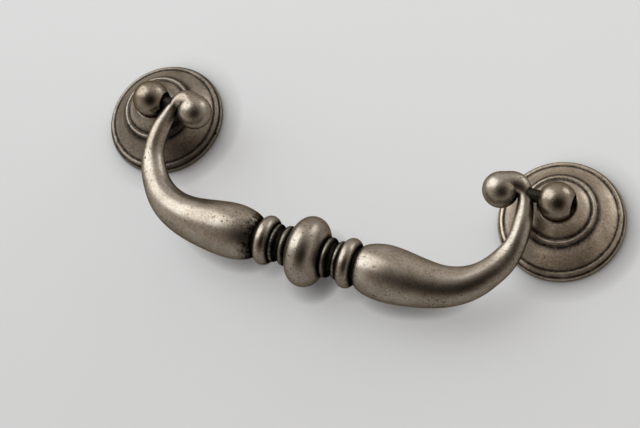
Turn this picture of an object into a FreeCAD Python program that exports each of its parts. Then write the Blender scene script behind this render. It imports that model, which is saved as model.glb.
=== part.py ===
import FreeCAD, Part
import math
import os
import Sketcher

# Drop pull: a cast bail swings on two pins between ball posts, and each post clamps a stepped rosette.
# The origin lies midway between the mounting holes, on the plane of the rosettes' backs.
# +X runs along the hole line, +Z points away from the drawer front and the bail falls towards -Y.
# Lengths are in millimetres and angles in degrees. A bulge is how far an arc rises over its chord.
DIMENSIONS = {
    # Layout: the bail lies a little to one side, as far as its end play lets it
    "hole_spacing": 96.0,
    "pivot_height": 11.5,
    "rest_gap": 0.7,
    "bail_side_slip": -0.35,
    # Rosette rim, counted inwards and upwards from the foot
    "rosette_diameter": 27.2,
    "foot_height": 0.15,
    "foot_roll_width": 0.4,
    "foot_roll_rise": 0.95,
    "foot_roll_bulge": 0.2,
    "rim_bead_width": 0.95,
    "rim_bead_rise": 0.9,
    "rim_bead_bulge": 0.35,
    "rim_groove_width": 0.3,
    "rim_groove_rise": 0.15,
    "rim_groove_bulge": 0.1,
    "flank_hollow": 0.23,
    # Ring half way up the rosette and the lip round the ball, counted downwards from the pivot
    "ring_diameter": 15.0,
    "ring_bead_width": 0.9,
    "ring_bead_rise": 0.6,
    "ring_bead_bulge": 0.37,
    "ring_groove_width": 0.5,
    "ring_groove_rise": 0.4,
    "ring_groove_bulge": 0.16,
    "flare_rise": 2.3,
    "flare_hollow": 0.18,
    "lip_drop": 1.85,
    "lip_width": 0.55,
    "lip_bulge": 0.15,
    "cup_depth": 1.25,
    # Cored back of the rosette
    "back_land_width": 2.3,
    "back_wall": 2.0,
    "boss_wall": 2.0,
    # Post
    "ball_diameter": 8.3,
    "cup_clearance": 0.12,
    "collar_step": 0.35,
    "shank_diameter": 6.4,
    "shank_recess": 0.3,
    "seat_clearance": 0.1,
    "pin_diameter": 2.8,
    "pin_slack": 0.9,
    "thread_bore_diameter": 3.3,
    "thread_roof": 1.4,
    # Bail: bead, collar ridge, neck, small ridge and ring, outwards from the middle of the grip
    "bail_drop": 24.2,
    "bead_diameter": 15.6,
    "bead_crest_width": 2.75,
    "bead_crest_drop": 1.4,
    "bead_flank_width": 1.25,
    "bead_flank_bulge": 0.12,
    "collar_ridge_root_diameter": 7.9,
    "collar_ridge_width": 1.8,
    "collar_ridge_bulge": 0.58,
    "neck_diameter": 7.6,
    "neck_width": 0.9,
    "neck_hollow": 0.21,
    "ridge_width": 1.3,
    "ridge_bulge": 0.34,
    "ring_root_diameter": 8.0,
    "ring_width": 3.35,
    "ring_bulge": 1.52,
    # Bail: bulb and swan-neck arm, as diameters at stations along its centre line
    "bulb_groove_width": 0.4,
    "bulb_root_diameter": 7.2,
    "bulb_head_length": 6.7,
    "bulb_diameter": 12.2,
    "bend_radius": 16.4,
    "bend_turn": 104.0,
    "bend_start_diameter": 10.3,
    "bend_quarter_diameter": 8.1,
    "bend_half_diameter": 6.1,
    "bend_three_quarter_diameter": 4.6,
    "bend_end_diameter": 3.8,
    "upright_diameter": 3.2,
    "arm_clearance": 0.5,
    "hook_radius": 2.8,
    "hook_depth": 0.85,
    "hook_diameter": 4.0,
    "hook_end_diameter": 5.4,
    "curl_turn": 25.0,
    "curl_neck_diameter": 6.7,
    "curl_root_diameter": 7.6,
    "curl_ball_diameter": 7.8,
    "curl_ball_inset": 2.8,
    "curl_ball_drop": 1.8,
    "pin_tip_reach": 0.8,
    "pin_chamfer": 0.3,
}
SIDES = {"left": -1, "right": 1}
BULB_HEAD_TURNS = (0.0, 20.0, 42.0, 65.0, 90.0)
BEND_STATIONS = ("start", "quarter", "half", "three_quarter", "end")
HOOK_STATIONS = {0.5: "hook_diameter", 1.0: "hook_end_diameter"}
CURL_STATIONS = {0.4: "curl_neck_diameter", 0.85: "curl_root_diameter"}
HALF_TURN = 180.0


class Size:
    """A length or angle that knows both its value and the spreadsheet expression that gives it."""

    def __init__(self, value, text):
        self.value = value
        self.text = text

    def joined(self, other, sign, value):
        other_text = other.text if isinstance(other, Size) else repr(other)
        return Size(value, f"({self.text} {sign} {other_text})")

    def __add__(self, other):
        return self.joined(other, "+", self.value + number(other))

    def __sub__(self, other):
        return self.joined(other, "-", self.value - number(other))

    def __mul__(self, other):
        return self.joined(other, "*", self.value * number(other))

    def __truediv__(self, other):
        return self.joined(other, "/", self.value / number(other))

    def __neg__(self):
        return Size(-self.value, f"(-{self.text})")


def number(size):
    return size.value if isinstance(size, Size) else float(size)


def sine(angle):
    return Size(math.sin(math.radians(angle.value)), f"sin({angle.text} * 1 deg)")


def cosine(angle):
    return Size(math.cos(math.radians(angle.value)), f"cos({angle.text} * 1 deg)")


def root(size):
    return Size(math.sqrt(size.value), f"sqrt({size.text})")


def as_size(value):
    return value if isinstance(value, Size) else Size(float(value), repr(float(value)))


doc = FreeCAD.newDocument("drop_pull")
sheet = doc.addObject("Spreadsheet::Sheet", "dims")
for row, (alias, value) in enumerate(DIMENSIONS.items(), start=1):
    sheet.set(f"A{row}", alias.replace("_", " "))
    sheet.set(f"B{row}", str(value))
    sheet.setAlias(f"B{row}", alias)
doc.recompute()
dim = {alias: Size(value, f"dims.{alias}") for alias, value in DIMENSIONS.items()}


def radius_of(diameter):
    return dim[diameter] / 2


# Sketch and feature helpers

def new_body(label):
    body = doc.addObject("PartDesign::Body", label)
    body.Label = label
    return body


def origin_plane(body, role):
    return next(feature for feature in body.Origin.OriginFeatures if feature.Role == role)


def attach(feature, body, plane):
    feature.AttachmentSupport = [(origin_plane(body, plane), "")]
    feature.MapMode = "FlatFace"


def new_sketch(body, name, plane):
    sketch = body.newObject("Sketcher::SketchObject", name)
    attach(sketch, body, plane)
    return sketch


def bind(sketch, constraint, size):
    sketch.setExpression(f"Constraints[{sketch.addConstraint(constraint)}]", size.text)


def hold_point(sketch, curve, end, x, y):
    """Fix one end of a curve at x, y from the sketch origin; a bare 0 lays it on that axis."""
    if isinstance(x, Size):
        bind(sketch, Sketcher.Constraint("DistanceX", -1, 1, curve, end, x.value), x)
    else:
        sketch.addConstraint(Sketcher.Constraint("PointOnObject", curve, end, -2))
    if isinstance(y, Size):
        bind(sketch, Sketcher.Constraint("DistanceY", -1, 1, curve, end, y.value), y)
    else:
        sketch.addConstraint(Sketcher.Constraint("PointOnObject", curve, end, -1))


def arc_radius(start, end, bulge):
    """Radius of the arc that rises by bulge over the chord from start to end."""
    across, up = (as_size(to) - as_size(come) for come, to in zip(start, end))
    return ((across * across + up * up) / 4 + bulge * bulge) / (bulge * 2)


def arc_between(start, end, radius, turn):
    """The short arc from start to end, which turns anticlockwise for 1 and clockwise for -1."""
    chord = end - start
    offset = math.sqrt(radius ** 2 - (chord.Length / 2) ** 2)
    across = FreeCAD.Vector(-chord.y, chord.x, 0).normalize()
    centre = (start + end) / 2 + across * offset * turn
    first, last = (start, end) if turn > 0 else (end, start)
    angles = [math.atan2(point.y - centre.y, point.x - centre.x) for point in (first, last)]
    return Part.ArcOfCircle(Part.Circle(centre, FreeCAD.Vector(0, 0, 1), radius), *angles)


def draw_outline(sketch, steps):
    """Closed outline of steps (x, y), or (x, y, bulge, turn) where an arc leads to that point."""
    points = [FreeCAD.Vector(number(step[0]), number(step[1]), 0) for step in steps]
    ends = []
    for index, step in enumerate(steps):
        start = points[index - 1]
        end = points[index]
        if len(step) == 2:
            curve = sketch.addGeometry(Part.LineSegment(start, end))
            ends.append((curve, 1, 2))
            continue
        bulge, turn = step[2:]
        radius = arc_radius(steps[index - 1][:2], step[:2], bulge)
        curve = sketch.addGeometry(arc_between(start, end, radius.value, turn))
        bind(sketch, Sketcher.Constraint("Radius", curve, radius.value), radius)
        ends.append((curve, 1, 2) if turn > 0 else (curve, 2, 1))
    for index, step in enumerate(steps):
        curve, first, last = ends[index]
        before, _, before_last = ends[index - 1]
        sketch.addConstraint(Sketcher.Constraint("Coincident", before, before_last, curve, first))
        hold_point(sketch, curve, last, step[0], step[1])


def draw_circle(sketch, radius):
    curve = sketch.addGeometry(Part.Circle(FreeCAD.Vector(), FreeCAD.Vector(0, 0, 1), radius.value))
    sketch.addConstraint(Sketcher.Constraint("Coincident", curve, 3, -1, 1))
    bind(sketch, Sketcher.Constraint("Radius", curve, radius.value), radius)


def revolve(body, name, sketch, axis):
    feature = body.newObject("PartDesign::Revolution", name)
    feature.Profile = sketch
    feature.ReferenceAxis = (sketch, [axis])
    feature.Angle = 2 * HALF_TURN
    doc.recompute()


def add_ball(body, name, plane, radius, x, y):
    ball = body.newObject("PartDesign::AdditiveSphere", name)
    attach(ball, body, plane)
    ball.setExpression("Radius", radius.text)
    ball.setExpression("AttachmentOffset.Base.x", x.text)
    ball.setExpression("AttachmentOffset.Base.y", y.text)
    doc.recompute()


def cut_pocket(body, name, sketch, depth=None):
    """Pocket inwards to a depth, or without one on both sides of the sketch through the whole body."""
    before = body.Shape.Volume
    feature = body.newObject("PartDesign::Pocket", name)
    feature.Profile = sketch
    if depth is None:
        feature.Type = "ThroughAll"
        feature.Midplane = True
    else:
        feature.Reversed = True
        feature.setExpression("Length", depth.text)
    doc.recompute()
    if body.Shape.Volume >= before:
        raise RuntimeError(f"{name} cut nothing")


# Fits that more than one piece shares

ball = radius_of("ball_diameter")
shank = radius_of("shank_diameter")
pin = radius_of("pin_diameter")
post_x = dim["hole_spacing"] / 2
cup = root(ball * ball - dim["lip_drop"] * dim["lip_drop"]) + dim["cup_clearance"]
cup_floor = dim["pivot_height"] - dim["lip_drop"] - dim["cup_depth"]


# Rosette: a turned form with a rolled foot, two beads, a hollow flank and a lip, cored out behind

def rosette_front():
    """The seen side from the foot up to the lip, as steps of the outline."""
    edge = radius_of("rosette_diameter")
    step = edge - dim["foot_roll_width"]
    step_top = dim["foot_height"] + dim["foot_roll_rise"]
    groove = step - dim["rim_bead_width"]
    groove_top = step_top + dim["rim_bead_rise"]
    flank = groove - dim["rim_groove_width"]
    flank_foot = groove_top + dim["rim_groove_rise"]
    ring_outer = radius_of("ring_diameter") + dim["ring_bead_width"] / 2
    ring_inner = ring_outer - dim["ring_bead_width"]
    lip = cup + dim["lip_width"]
    lip_top = dim["pivot_height"] - dim["lip_drop"]
    flare_foot = lip_top - dim["flare_rise"]
    ring_top = flare_foot - dim["ring_groove_rise"]
    ring_foot = ring_top - dim["ring_bead_rise"]
    return [
        (edge, dim["foot_height"]),
        (step, step_top, dim["foot_roll_bulge"], 1),
        (groove, groove_top, dim["rim_bead_bulge"], 1),
        (flank, flank_foot, dim["rim_groove_bulge"], -1),
        (ring_outer + dim["ring_groove_width"], ring_foot - dim["ring_groove_rise"], dim["flank_hollow"], -1),
        (ring_outer, ring_foot, dim["ring_groove_bulge"], -1),
        (ring_inner, ring_top, dim["ring_bead_bulge"], 1),
        (ring_inner - dim["ring_groove_width"], flare_foot, dim["ring_groove_bulge"], -1),
        (lip, lip_top, dim["flare_hollow"], -1),
        (cup, lip_top, dim["lip_bulge"], 1),
    ]


def rosette_back(front):
    """The cup for the ball, the bore, and the hollow behind that follows the front at a wall's thickness."""
    flank_top_x, flank_top_height = front[4][:2]
    bore = shank + dim["seat_clearance"]
    boss = bore + dim["boss_wall"]
    core_top = flank_top_height - dim["back_wall"]
    edge = radius_of("rosette_diameter")
    return [
        (cup, cup_floor),
        (bore, cup_floor),
        (bore, 0),
        (boss, 0),
        (boss, core_top),
        (flank_top_x - dim["back_wall"], core_top),
        (edge - dim["back_land_width"], 0),
        (edge, 0),
    ]


def make_rosette(side):
    body = new_body(f"rosette_{side}")
    sketch = new_sketch(body, f"rosette_profile_{side}", "XZ_Plane")
    front = rosette_front()
    draw_outline(sketch, front + rosette_back(front))
    revolve(body, f"rosette_turning_{side}", sketch, "V_Axis")
    body.setExpression("Placement.Base.x", (post_x * SIDES[side]).text)
    return body


# Post: a ball with a cross hole for the bail's pin, over a collar and a shank tapped from behind

def make_post(side):
    body = new_body(f"post_{side}")
    collar = shank + dim["collar_step"]
    outline = [
        (shank, dim["shank_recess"]),
        (shank, cup_floor),
        (collar, cup_floor),
        (collar, dim["pivot_height"]),
        (0, dim["pivot_height"]),
        (0, dim["shank_recess"]),
    ]
    profile = new_sketch(body, f"post_profile_{side}", "XZ_Plane")
    draw_outline(profile, outline)
    revolve(body, f"post_turning_{side}", profile, "V_Axis")
    add_ball(body, f"post_ball_{side}", "XZ_Plane", ball, as_size(0), dim["pivot_height"])

    hole = pin + dim["pin_slack"]
    cross = new_sketch(body, f"cross_hole_circle_{side}", "YZ_Plane")
    cross.setExpression("AttachmentOffset.Base.y", dim["pivot_height"].text)
    draw_circle(cross, hole)
    cut_pocket(body, f"cross_hole_{side}", cross)

    thread = new_sketch(body, f"thread_circle_{side}", "XY_Plane")
    thread.setExpression("AttachmentOffset.Base.z", dim["shank_recess"].text)
    draw_circle(thread, radius_of("thread_bore_diameter"))
    thread_top = dim["pivot_height"] - hole - dim["thread_roof"]
    cut_pocket(body, f"thread_bore_{side}", thread, thread_top - dim["shank_recess"])
    body.setExpression("Placement.Base.x", (post_x * SIDES[side]).text)
    return body


# Bail: the right half is turned, lofted and rounded, then mirrored about the middle of the bead

def grip_outline():
    """Half of the turned grip, and where its ring ends."""
    bead = radius_of("bead_diameter")
    crest_width = dim["bead_crest_width"]
    crest_drop = dim["bead_crest_drop"]
    crest_chord = root(crest_width * crest_width + crest_drop * crest_drop)
    crest_radius = crest_chord * crest_chord / (crest_drop * 2)
    crest_bulge = crest_radius - crest_radius * crest_width / crest_chord
    bead_foot = crest_width + dim["bead_flank_width"]
    neck = bead_foot + dim["collar_ridge_width"]
    ridge = neck + dim["neck_width"]
    ring = ridge + dim["ridge_width"]
    ring_end = ring + dim["ring_width"]
    core = radius_of("ring_root_diameter")
    grip_end = ring_end + dim["bulb_groove_width"] + dim["bulb_head_length"]
    steps = [
        (0, bead),
        (crest_width, bead - crest_drop, crest_bulge, -1),
        (bead_foot, radius_of("collar_ridge_root_diameter"), dim["bead_flank_bulge"], -1),
        (neck, radius_of("neck_diameter"), dim["collar_ridge_bulge"], -1),
        (ridge, radius_of("neck_diameter"), dim["neck_hollow"], 1),
        (ring, core, dim["ridge_bulge"], -1),
        (ring_end, core, dim["ring_bulge"], -1),
        (grip_end, core),
        (grip_end, 0),
        (0, 0),
    ]
    return steps, ring_end


def bulb_stations(ring_end):
    """Rounded inner end of the bulb, as stations (x, y, heading, radius) along the grip."""
    root_radius = radius_of("bulb_root_diameter")
    swell = radius_of("bulb_diameter") - root_radius
    waist = ring_end + dim["bulb_groove_width"] + dim["bulb_head_length"]
    stations = []
    for turn in BULB_HEAD_TURNS:
        x = waist - dim["bulb_head_length"] * math.cos(math.radians(turn))
        radius = root_radius + swell * math.sin(math.radians(turn))
        stations.append((x, -dim["bail_drop"], as_size(0), radius))
    return stations


def arm_stations(neck_x):
    """Bend and upright of the arm, which stands clear of the ball post where it reaches the hook."""
    turn = dim["bend_turn"]
    reach = dim["bend_radius"]
    upright_length = (dim["bail_drop"] - dim["hook_depth"] - reach + reach * cosine(turn)) / sine(turn)
    bend_start = neck_x - reach * sine(turn) - upright_length * cosine(turn)
    stations = []
    for index, name in enumerate(BEND_STATIONS):
        heading = turn * (index / (len(BEND_STATIONS) - 1))
        x = bend_start + reach * sine(heading)
        y = reach - dim["bail_drop"] - reach * cosine(heading)
        stations.append((x, y, heading, radius_of(f"bend_{name}_diameter")))
    stations.append((neck_x, -dim["hook_depth"], turn, radius_of("upright_diameter")))
    return stations


def hook_stations(neck_x):
    """Hook from the upright over into the curl ball, and where the ball's centre lies."""
    turn = dim["bend_turn"]
    stations = []
    for share, name in HOOK_STATIONS.items():
        heading = turn + (-turn + HALF_TURN) * share
        x = neck_x + dim["hook_radius"] * (sine(heading) - sine(turn))
        y = dim["hook_radius"] * (cosine(turn) - cosine(heading)) - dim["hook_depth"]
        stations.append((x, y, heading, radius_of(name)))
    hook_end_x, hook_end_y = x, y
    for share, name in CURL_STATIONS.items():
        x = hook_end_x - dim["curl_ball_inset"] * share
        y = hook_end_y - dim["curl_ball_drop"] * share
        stations.append((x, y, dim["curl_turn"] * share + HALF_TURN, radius_of(name)))
    ball_x = hook_end_x - dim["curl_ball_inset"]
    ball_y = hook_end_y - dim["curl_ball_drop"]
    return stations, ball_x, ball_y


def section_sketch(body, name, station):
    x, y, heading, radius = station
    sketch = new_sketch(body, name, "YZ_Plane")
    upright_axis = FreeCAD.Vector(0, 1, 0)
    sketch.AttachmentOffset = FreeCAD.Placement(
        FreeCAD.Vector(), FreeCAD.Rotation(upright_axis, heading.value))
    sketch.setExpression("AttachmentOffset.Base.x", y.text)
    sketch.setExpression("AttachmentOffset.Base.z", x.text)
    sketch.setExpression("AttachmentOffset.Rotation.Angle", heading.text)
    draw_circle(sketch, radius)
    return sketch


def loft_arm(body, stations):
    sections = [section_sketch(body, f"arm_section_{index}", station)
                for index, station in enumerate(stations)]
    doc.recompute()
    arm = body.newObject("PartDesign::AdditiveLoft", "arm")
    arm.Profile = sections[0]
    arm.Sections = sections[1:]
    doc.recompute()


def turn_pin(body, neck_x):
    """Pivot pin from inside the arm's top into the post's cross hole."""
    tip = post_x + dim["pin_tip_reach"]
    sketch = new_sketch(body, "pin_profile", "XY_Plane")
    draw_outline(sketch, [
        (neck_x, 0),
        (neck_x, pin),
        (tip - dim["pin_chamfer"], pin),
        (tip, pin - dim["pin_chamfer"]),
        (tip, 0),
    ])
    revolve(body, "pivot_pin", sketch, "H_Axis")


def make_bail():
    body = new_body("bail_handle")
    neck_x = post_x - ball - radius_of("upright_diameter") - dim["arm_clearance"]
    steps, ring_end = grip_outline()
    hook, ball_x, ball_y = hook_stations(neck_x)
    loft_arm(body, bulb_stations(ring_end) + arm_stations(neck_x) + hook)

    grip_sketch = new_sketch(body, "grip_profile", "XY_Plane")
    grip_sketch.setExpression("AttachmentOffset.Base.y", (-dim["bail_drop"]).text)
    draw_outline(grip_sketch, steps)
    revolve(body, "grip_turning", grip_sketch, "H_Axis")
    add_ball(body, "curl_ball", "XY_Plane", radius_of("curl_ball_diameter"), ball_x, ball_y)
    turn_pin(body, neck_x)

    mirrored = body.newObject("PartDesign::Mirrored", "left_half")
    mirrored.TransformMode = "Whole shape"
    mirrored.MirrorPlane = (origin_plane(body, "YZ_Plane"), [""])
    body.Tip = mirrored
    doc.recompute()

    hinge_axis = FreeCAD.Vector(1, 0, 0)
    body.Placement = FreeCAD.Placement(FreeCAD.Vector(), FreeCAD.Rotation(hinge_axis, 1))
    rise = dim["pivot_height"] - radius_of("bead_diameter") - dim["rest_gap"]
    body.setExpression("Placement.Rotation.Angle", f"asin({rise.text} / {dim['bail_drop'].text})")
    body.setExpression("Placement.Base.x", dim["bail_side_slip"].text)
    body.setExpression("Placement.Base.z", dim["pivot_height"].text)
    return body


pieces = [make_bail()]
for side in SIDES:
    pieces.append(make_rosette(side))
    pieces.append(make_post(side))
doc.recompute()

for item in doc.Objects:
    if "Invalid" in item.State or "Error" in item.State:
        raise RuntimeError(f"{item.Label} failed: {item.State}")
os.makedirs("parts", exist_ok=True)
for piece in pieces:
    if piece.Shape.isNull() or not piece.Shape.isValid():
        raise RuntimeError(f"{piece.Label} has no sound shape")
for piece in pieces:
    piece.Shape.exportStep(f"parts/{piece.Label}.step")
    box = piece.Shape.BoundBox
    print(f"{piece.Label}: {len(piece.Shape.Solids)} solid, {piece.Shape.Volume:.1f} mm3, "
          f"x {box.XMin:.2f} to {box.XMax:.2f}, y {box.YMin:.2f} to {box.YMax:.2f}, "
          f"z {box.ZMin:.2f} to {box.ZMax:.2f}")
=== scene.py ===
import math

import bpy
from mathutils import Matrix, Vector

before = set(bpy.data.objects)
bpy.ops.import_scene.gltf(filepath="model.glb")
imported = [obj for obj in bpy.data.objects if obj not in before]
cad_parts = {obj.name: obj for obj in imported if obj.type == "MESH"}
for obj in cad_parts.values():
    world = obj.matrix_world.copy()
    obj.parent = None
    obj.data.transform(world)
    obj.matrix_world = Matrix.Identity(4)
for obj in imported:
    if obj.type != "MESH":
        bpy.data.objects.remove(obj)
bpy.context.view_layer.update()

MM = 0.001

# Places on the part that the patina and painted shade follow
POST_X = 48.0 * MM
PIVOT_HEIGHT = 11.5 * MM
GRIP_DROP = 24.2 * MM
GRIP_HEIGHT = 8.5 * MM
BAIL_SHIFT = -0.35 * MM

# Camera, from the photograph's perspective
IMAGE_WIDTH = 640
FOCAL_PIXELS = 1525.7
SENSOR_WIDTH = 36.0
CLIP_START = 0.01
CAMERA_EYE = Vector((107.5, -108.2, 306.5)) * MM
CAMERA_AIM = Vector((-1.05, -14.97, 8.0)) * MM
CAMERA_ROLL = math.radians(31.28)

# Tints: each finish is mottled from its pewter to its brown
PEWTER = (0.330, 0.293, 0.248, 1.0)
PEWTER_BROWN = (0.195, 0.156, 0.117, 1.0)
# The rosettes are one metal; it comes as a darker copy for the left and a lighter copy for the right, which
# is painted light
ROSETTE_SHADED_PEWTER = (0.300, 0.253, 0.205, 1.0)
ROSETTE_SHADED_BROWN = (0.122, 0.099, 0.077, 1.0)
ROSETTE_LIT_PEWTER = (0.500, 0.414, 0.328, 1.0)
ROSETTE_LIT_BROWN = (0.212, 0.168, 0.124, 1.0)
DEEP_PEWTER = (0.250, 0.214, 0.172, 1.0)
DEEP_BROWN = (0.145, 0.113, 0.081, 1.0)
# Patina and painted shade in the recesses, and the tint of the metal seen edge-on
PATINA_AND_SHADE = (0.0105, 0.0083, 0.0063, 1.0)
EDGE_TINT = (0.43, 0.365, 0.302, 1.0)

# Wear and painted shade: crevice is a ramp on open sky that darkens crevices as patina and painted shade,
# speckle the strength of the fine pits, mottle the share of brown
BAIL_WEAR_AND_SHADE = {"crevice": (0.90, 0.45), "speckle": 0.8, "mottle": 0.5, "roughness": 0.355, "metallic": 1.0}
ROSETTE_WEAR_AND_SHADE = {"crevice": (0.55, 0.20), "speckle": 0.5, "mottle": 0.5, "roughness": 0.41, "metallic": 0.8}
POST_WEAR_AND_SHADE = {"crevice": (0.70, 0.0), "speckle": 0.6, "mottle": 0.5, "roughness": 0.30, "metallic": 1.0}

# Noises: scale, detail, roughness
CLOUD = (170.0, 4.0, 0.6)
GRAIN = (2200.0, 3.0, 0.7)
GRIME = (520.0, 4.0, 0.7)
FLECK = (1900.0, 3.0, 0.6)
PIT_FIELD = (150.0, 3.0, 0.5)
SPECK = (1300.0, 4.0, 0.75)
FIBRE = (40.0, 3.0, 0.5)

# Ramps: a value's start and end, and where the result isn't 0 to 1, the results there
CLOUD_RAMP = (0.35, 0.65)
GRAIN_RAMP = (0.38, 0.66)
FLECK_RAMP = (0.58, 0.67)
PIT_FIELD_RAMP = (0.38, 0.62)
WORN_RAMP = (0.1, 0.9)

# Every metal: crevices darkened as patina and painted shade, the change of roughness on worn and dark
# places, and bump
CREVICE_REACH = 2.2 * MM
CREVICE_SAMPLES = 8
CREVICE_GRIME = 0.3
WORN_GRAIN = 0.4
WORN_SHADE = 0.6
SMOOTHER = 0.04
ROUGHER = 0.14
BUMP_GRAIN = 0.3
BUMP_STRENGTH = 0.35
BUMP_HEIGHT = 0.05 * MM

# Bail: stations are distances along the grip from the middle of the bead
RIDGE_CRESTS = (4.9 * MM, 7.35 * MM)
CREST_HALF_WIDTH = 0.45 * MM
CREST_RUB_RAMP = (0.35, 0.6, 0.85, 0.35)
NECK_RAGGED = 0.7 * MM
NECK_RADIUS_RAMP = (5.6 * MM, 4.5 * MM)
NECK_STATION_RAMP = (12.3 * MM, 11.9 * MM)
BULB_STATION = 11.6 * MM
BULB_STATION_RAMP = (11.2 * MM, BULB_STATION)
FRINGE_RAMP = (-2.0 * MM, 2.0 * MM, 3.4 * MM, 1.6 * MM)
FRINGE_SPECK = 2.0
FRINGE_EDGE_RAMP = (1.95, 1.05)
# Pins: where painted shade darkens them, round the pivot and along the grip
PIN_RADIUS_RAMP = (1.9 * MM, 1.5 * MM)
PIN_STATION_RAMP = (41.4 * MM, 42.0 * MM, 0.0, 0.92)

# Rosettes: radius and half width of each dark line, and place and radius of each casting pit, in mm;
# PIT_BOTTOM is the share of its radius in which a pit is darkest
ROSETTE_LINES = [(13.2, 0.4), (12.1, 0.65), (8.2, 0.9), (6.75, 0.8)]
LINE_GRIME_RAMP = (0.25, 0.6, 0.65, 0.95)
CASTING_PITS = [((-34.81, -0.52, 1.1), 0.62), ((-42.01, 11.76, 1.1), 0.4)]
PIT_BOTTOM = 0.6

# Floor: a grey sheet, with a glow that has a painted falloff, weaker towards the front, and a painted
# shadow by the object, which falls away from SHADE_FROM, an azimuth and an elevation
FLOOR_HALF_SIZE = 3.0
FLOOR_GREY = (0.348, 0.345, 0.344, 1.0)
FIBRE_SHADE = 0.97
FLOOR_ROUGHNESS = 0.9
FLOOR_SPECULAR = 0.1
FLOOR_GLOW = 0.363
GLOW_COLOUR = (1.0, 1.0, 1.0, 1.0)
GLOW_RAMP = (-0.08, 0.06, 0.81 * FLOOR_GLOW, FLOOR_GLOW)
SHADE_FROM = (158.0, 48.0)
SHADE_REACH = 5.0 * MM
SHADE_SAMPLES = 16
SHADE_POWER = 3.3

# Studio: lamps stand round the part, and the camera's side is dark; a side is an azimuth and an elevation
LAMP_DISTANCE = 1.2
LAMP_WHITE = (0.89, 0.955, 1.0)
LAMPS = {
    "key": {"side": (163.0, 39.0), "size": (1.05, 1.5), "power": 15.2},
    "rim": {"side": (60.0, 14.0), "size": (0.55, 0.55), "power": 2.4},
}
DARK_SIDE = (308.0, 53.0)
# Position on the ramp and level there; red, green and blue are each a share of a power of the level
DOME_LEVELS = [(0.25, 1.0), (0.45, 0.74), (0.60, 0.52), (0.75, 0.34), (0.87, 0.09), (0.96, 0.0)]
DOME_WARMTH = [(1.0, 1.0), (0.97, 1.08), (0.93, 1.17)]

# Colour sockets of a Mix node
MIX_FIRST = 6
MIX_SECOND = 7
MIX_RESULT = 2


class Graph:
    """A material's nodes, with short calls for the kinds used here."""

    def __init__(self, name):
        self.material = bpy.data.materials.new(name)
        self.material.use_nodes = True
        self.nodes = self.material.node_tree.nodes
        self.links = self.material.node_tree.links
        self.shader = self.nodes["Principled BSDF"]
        self.place = self.add("ShaderNodeTexCoord").outputs["Object"]

    def add(self, kind, inputs=None, **settings):
        node = self.nodes.new(kind)
        for key, value in settings.items():
            setattr(node, key, value)
        for key, value in (inputs or {}).items():
            self.feed(node.inputs[key], value)
        return node

    def feed(self, socket, value):
        if isinstance(value, bpy.types.NodeSocket):
            self.links.new(value, socket)
        else:
            socket.default_value = value

    def feed_shader(self, name, value):
        """Feeds one of the shader's own inputs."""
        self.feed(self.shader.inputs[name], value)

    def math(self, operation, *values):
        return self.add("ShaderNodeMath", dict(enumerate(values)), operation=operation).outputs[0]

    def noise(self, scale, detail, roughness):
        inputs = {"Vector": self.place, "Scale": scale, "Detail": detail, "Roughness": roughness}
        return self.add("ShaderNodeTexNoise", inputs).outputs["Fac"]

    def remap(self, value, low, high, to_low=0.0, to_high=1.0):
        inputs = {"Value": value, "From Min": low, "From Max": high, "To Min": to_low, "To Max": to_high}
        return self.add("ShaderNodeMapRange", inputs, interpolation_type="SMOOTHSTEP").outputs["Result"]

    def mix(self, factor, first, second):
        node = self.add("ShaderNodeMix", {"Factor": factor}, data_type="RGBA")
        self.feed(node.inputs[MIX_FIRST], first)
        self.feed(node.inputs[MIX_SECOND], second)
        return node.outputs[MIX_RESULT]

    def band(self, value, centre, half_width):
        """1 at the centre, falling smoothly to 0 at half_width on either side."""
        away = self.math("ABSOLUTE", self.math("SUBTRACT", value, centre))
        return self.remap(away, 0.0, half_width, 1.0, 0.0)

    def highest(self, values):
        result = values[0]
        for value in values[1:]:
            result = self.math("MAXIMUM", result, value)
        return result

    def split(self):
        """The X, Y and Z of the place on the part."""
        return self.add("ShaderNodeSeparateXYZ", {0: self.place}).outputs


def distance(graph, first, second):
    """Length of a vector with these two parts."""
    first_square = graph.math("MULTIPLY", first, first)
    second_square = graph.math("MULTIPLY", second, second)
    return graph.math("SQRT", graph.math("ADD", first_square, second_square))


def station_along_grip(graph):
    """Distance along the grip from the middle of the bead, the same on both sides."""
    return graph.math("ABSOLUTE", graph.math("SUBTRACT", graph.split()["X"], BAIL_SHIFT))


def radius_round_grip(graph):
    """Distance from the axis that the bead, necks and rings are turned on."""
    drop = math.sqrt(GRIP_DROP ** 2 - (PIVOT_HEIGHT - GRIP_HEIGHT) ** 2)
    across = graph.math("ADD", graph.split()["Y"], drop)
    return distance(graph, across, graph.math("SUBTRACT", graph.split()["Z"], GRIP_HEIGHT))


def radius_round_pivot(graph):
    """Distance from the axis of the pins."""
    up = graph.math("SUBTRACT", graph.split()["Z"], PIVOT_HEIGHT)
    return distance(graph, graph.split()["Y"], up)


def radius_round_post(graph):
    """Distance from the axis of the nearer post."""
    across = graph.math("SUBTRACT", graph.math("ABSOLUTE", graph.split()["X"]), POST_X)
    return distance(graph, across, graph.split()["Y"])


def crevices(graph, grime, ramp):
    """Patina and painted shade: dark where the surface sees little open sky, with a ragged edge."""
    inputs = {"Distance": CREVICE_REACH}
    sky = graph.add("ShaderNodeAmbientOcclusion", inputs, samples=CREVICE_SAMPLES).outputs["AO"]
    return graph.remap(graph.math("ADD", sky, graph.math("MULTIPLY", grime, CREVICE_GRIME)), *ramp)


def fine_pits(graph, strength):
    """Small dark flecks that gather in fields."""
    flecks = graph.remap(graph.noise(*FLECK), *FLECK_RAMP)
    fields = graph.remap(graph.noise(*PIT_FIELD), *PIT_FIELD_RAMP)
    return graph.math("MULTIPLY", graph.math("MULTIPLY", flecks, fields), strength)


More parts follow.
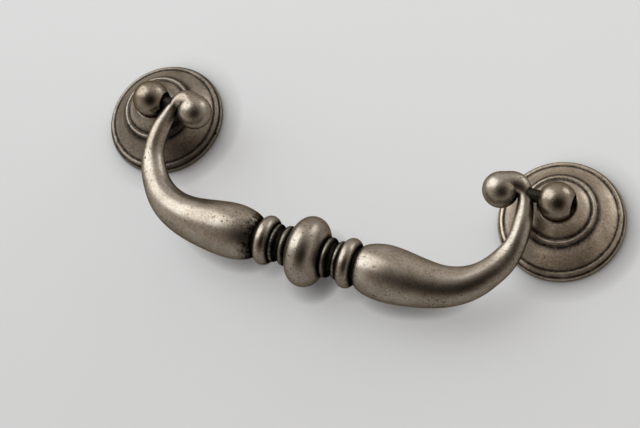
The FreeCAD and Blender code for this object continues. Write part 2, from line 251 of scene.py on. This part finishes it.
def mottled_metal(graph, grain, tints, mottle):
    """Colour of the bare metal, from the first tint to the second."""
    cloud = graph.remap(graph.noise(*CLOUD), *CLOUD_RAMP)
    tone = graph.math("ADD", cloud, graph.remap(grain, *GRAIN_RAMP))
    return graph.mix(graph.math("MINIMUM", graph.math("MULTIPLY", tone, mottle), 1.0), *tints)


def roughen(graph, grain, shade, pits, roughness):
    """Rougher in the patina and painted shade, with the grain and the pits as bump."""
    worn_grain = graph.math("MULTIPLY", grain, WORN_GRAIN)
    worn = graph.math("ADD", worn_grain, graph.math("MULTIPLY", shade, WORN_SHADE))
    graph.feed_shader("Roughness", graph.remap(worn, *WORN_RAMP, roughness - SMOOTHER, roughness + ROUGHER))
    height = graph.math("SUBTRACT", graph.math("MULTIPLY", grain, BUMP_GRAIN), pits)
    inputs = {"Strength": BUMP_STRENGTH, "Distance": BUMP_HEIGHT, "Height": height}
    graph.feed_shader("Normal", graph.add("ShaderNodeBump", inputs).outputs["Normal"])


def aged_and_shaded_pewter(name, tints, recesses, wear_and_shade):
    """Plated casting: recesses(graph, grime) gives what stays dark, as patina and painted shade, and wear
    how the rest has aged and how far painted shade reaches into crevices.
    """
    graph = Graph(name)
    grain = graph.noise(*GRAIN)
    grime = graph.noise(*GRIME)
    dark = graph.highest([crevices(graph, grime, wear_and_shade["crevice"])] + recesses(graph, grime))
    pits = fine_pits(graph, wear_and_shade["speckle"])
    # shade holds the patina, the painted shade in crevices, and the pits
    shade = graph.math("MINIMUM", graph.math("ADD", dark, pits), 1.0)
    metal = mottled_metal(graph, grain, tints, wear_and_shade["mottle"])
    graph.feed_shader("Base Color", graph.mix(shade, metal, PATINA_AND_SHADE))
    graph.feed_shader("Metallic", wear_and_shade["metallic"])
    graph.feed_shader("Specular Tint", graph.mix(shade, EDGE_TINT, PATINA_AND_SHADE))
    roughen(graph, grain, shade, pits, wear_and_shade["roughness"])
    return graph.material


def neck_patina_and_shade(graph, grime, station):
    """Patina, black in the necks and beside the rings, its outer reach onto the flanks painted shade,
    rubbed off the crests of the ridges.
    """
    ragged = graph.math("ADD", radius_round_grip(graph), graph.math("MULTIPLY", grime, NECK_RAGGED))
    crest = graph.highest([graph.band(station, place, CREST_HALF_WIDTH) for place in RIDGE_CRESTS])
    rubbed = graph.math("MULTIPLY", crest, graph.remap(grime, *CREST_RUB_RAMP))
    kept = graph.math("SUBTRACT", 1.0, rubbed)
    groove = graph.math("MULTIPLY", graph.remap(ragged, *NECK_RADIUS_RAMP), kept)
    return graph.math("MULTIPLY", groove, graph.remap(station, *NECK_STATION_RAMP))


def bulb_patina(graph, station):
    """Ragged black at the bulbs' inner ends, which reaches further on the left."""
    fringe = graph.remap(graph.split()["X"], *FRINGE_RAMP)
    reach = graph.math("DIVIDE", graph.math("SUBTRACT", station, BULB_STATION), fringe)
    speck = graph.math("MULTIPLY", graph.noise(*SPECK), FRINGE_SPECK)
    edge = graph.remap(graph.math("ADD", reach, speck), *FRINGE_EDGE_RAMP)
    return graph.math("MULTIPLY", edge, graph.remap(station, *BULB_STATION_RAMP))


# Painted shade: the pins are darkened where they pass out of the arms into the post balls
def pin_painted_shade(graph, station):
    round_pin = graph.remap(radius_round_pivot(graph), *PIN_RADIUS_RAMP)
    return graph.math("MULTIPLY", round_pin, graph.remap(station, *PIN_STATION_RAMP))


def bail_recesses(graph, grime):
    station = station_along_grip(graph)
    return [neck_patina_and_shade(graph, grime, station), bulb_patina(graph, station), pin_painted_shade(graph, station)]


def casting_pit(graph, place, radius):
    away = graph.add("ShaderNodeVectorMath", {0: graph.place, 1: Vector(place) * MM}, operation="DISTANCE")
    return graph.remap(away.outputs["Value"], radius * MM, PIT_BOTTOM * radius * MM)


def rosette_recesses(graph, grime):
    """Dark lines in the turned grooves, and the casting pits."""
    radius = radius_round_post(graph)
    grimy = graph.remap(grime, *LINE_GRIME_RAMP)
    lines = [graph.band(radius, centre * MM, half_width * MM) for centre, half_width in ROSETTE_LINES]
    grimy_lines = [graph.math("MULTIPLY", line, grimy) for line in lines]
    return grimy_lines + [casting_pit(graph, *pit) for pit in CASTING_PITS]


def no_recesses(graph, grime):
    """The posts are dark only in their crevices."""
    return []


def assign(node, material):
    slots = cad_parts[node].data.materials
    slots.clear()
    slots.append(material)


def dress():
    bail_metal = aged_and_shaded_pewter("bail_pewter", (PEWTER, PEWTER_BROWN), bail_recesses, BAIL_WEAR_AND_SHADE)
    # Painted light: the right rosette takes the lighter copy of the one metal and the left the darker
    rosette_tints = {"left": (ROSETTE_SHADED_PEWTER, ROSETTE_SHADED_BROWN), "right": (ROSETTE_LIT_PEWTER, ROSETTE_LIT_BROWN)}
    post_metal = aged_and_shaded_pewter("post_pewter", (DEEP_PEWTER, DEEP_BROWN), no_recesses, POST_WEAR_AND_SHADE)
    assign("bail_handle", bail_metal)
    for side, tints in rosette_tints.items():
        rosette_metal = aged_and_shaded_pewter(f"rosette_pewter_painted_light_{side}", tints, rosette_recesses, ROSETTE_WEAR_AND_SHADE)
        assign(f"rosette_{side}", rosette_metal)
        assign(f"post_{side}", post_metal)


def toward(azimuth, elevation):
    """Unit vector at an azimuth from +X and an elevation over the floor, in degrees."""
    azimuth, elevation = math.radians(azimuth), math.radians(elevation)
    flat = math.cos(elevation)
    return Vector((flat * math.cos(azimuth), flat * math.sin(azimuth), math.sin(elevation)))


def floor_glow(graph):
    """Glow for the camera and for gloss and glass only, with a painted shadow by the object and a painted
    falloff towards the front.
    """
    rays = graph.add("ShaderNodeLightPath").outputs
    seen = graph.highest([rays["Is Camera Ray"], rays["Is Glossy Ray"], rays["Is Transmission Ray"]])
    # Painted shadow: the glow darkens where the object hides the sky on the side of SHADE_FROM
    lamp_side = graph.add("ShaderNodeCombineXYZ", dict(zip("XYZ", toward(*SHADE_FROM)))).outputs["Vector"]
    inputs = {"Distance": SHADE_REACH, "Normal": lamp_side}
    sky = graph.add("ShaderNodeAmbientOcclusion", inputs, samples=SHADE_SAMPLES).outputs["AO"]
    # Painted falloff: the glow is weaker towards the front
    level = graph.remap(graph.split()["Y"], *GLOW_RAMP)
    glow_in_painted_shadow = graph.math("MULTIPLY", graph.math("POWER", sky, SHADE_POWER), level)
    return graph.math("MULTIPLY", seen, glow_in_painted_shadow)


def table_material():
    graph = Graph("table")
    fibre_grey = [FIBRE_SHADE * part for part in FLOOR_GREY[:3]] + [1.0]
    graph.feed_shader("Base Color", graph.mix(graph.noise(*FIBRE), FLOOR_GREY, fibre_grey))
    graph.feed_shader("Roughness", FLOOR_ROUGHNESS)
    graph.feed_shader("Specular IOR Level", FLOOR_SPECULAR)
    graph.feed_shader("Emission Color", GLOW_COLOUR)
    graph.feed_shader("Emission Strength", floor_glow(graph))
    return graph.material


def make_floor():
    """Pale shooting table whose glow keeps the lamps' shadows light, with a painted shadow that is deep
    only next to the object.
    """
    half = FLOOR_HALF_SIZE
    corners = [(-half, -half, 0), (half, -half, 0), (half, half, 0), (-half, half, 0)]
    mesh = bpy.data.meshes.new("floor")
    mesh.from_pydata(corners, [], [(0, 1, 2, 3)])
    mesh.materials.append(table_material())
    floor = bpy.data.objects.new("floor", mesh)
    bpy.context.scene.collection.objects.link(floor)


def add_softbox(name, side, size, power):
    """Area lamp that faces the middle of the part."""
    lamp = bpy.data.lights.new(name, "AREA")
    lamp.shape = "RECTANGLE"
    lamp.size, lamp.size_y = size
    lamp.energy = power
    lamp.color = LAMP_WHITE
    box = bpy.data.objects.new(name, lamp)
    box.location = toward(*side) * LAMP_DISTANCE
    box.rotation_mode = "QUATERNION"
    box.rotation_quaternion = (box.location - CAMERA_AIM).to_track_quat("Z", "Y")
    bpy.context.scene.collection.objects.link(box)


def set_dome_ramp(ramp):
    """Replaces the two elements that a new ramp has."""
    for position, level in DOME_LEVELS:
        warm = [share * level ** power for share, power in DOME_WARMTH]
        ramp.elements.new(position).color = warm + [1.0]
    ramp.elements.remove(ramp.elements[0])
    ramp.elements.remove(ramp.elements[len(ramp.elements) - 1])


def make_dome():
    """Soft white surroundings that darken to black round the place of the camera."""
    world = bpy.data.worlds.new("studio")
    world.use_nodes = True
    nodes = world.node_tree.nodes
    links = world.node_tree.links
    direction = nodes.new("ShaderNodeTexCoord").outputs["Generated"]
    facing = nodes.new("ShaderNodeVectorMath")
    facing.operation = "DOT_PRODUCT"
    links.new(direction, facing.inputs[0])
    facing.inputs[1].default_value = toward(*DARK_SIDE)
    levels = nodes.new("ShaderNodeValToRGB")
    set_dome_ramp(levels.color_ramp)
    links.new(facing.outputs["Value"], levels.inputs["Fac"])
    links.new(levels.outputs["Color"], nodes["Background"].inputs["Color"])
    bpy.context.scene.world = world


def make_light():
    make_dome()
    for name, lamp in LAMPS.items():
        add_softbox(name, **lamp)


def make_camera():
    data = bpy.data.cameras.new("photo_camera")
    data.sensor_width = SENSOR_WIDTH
    data.lens = FOCAL_PIXELS * SENSOR_WIDTH / IMAGE_WIDTH
    data.clip_start = CLIP_START
    camera = bpy.data.objects.new("photo_camera", data)
    aimed = (CAMERA_AIM - CAMERA_EYE).to_track_quat("-Z", "Y").to_matrix().to_4x4()
    rolled = Matrix.Rotation(-CAMERA_ROLL, 4, "Z")
    camera.matrix_world = Matrix.Translation(CAMERA_EYE) @ aimed @ rolled
    bpy.context.scene.collection.objects.link(camera)
    bpy.context.scene.camera = camera


dress()
make_floor()
make_light()
make_camera()
bpy.context.scene.view_settings.view_transform = "Standard"
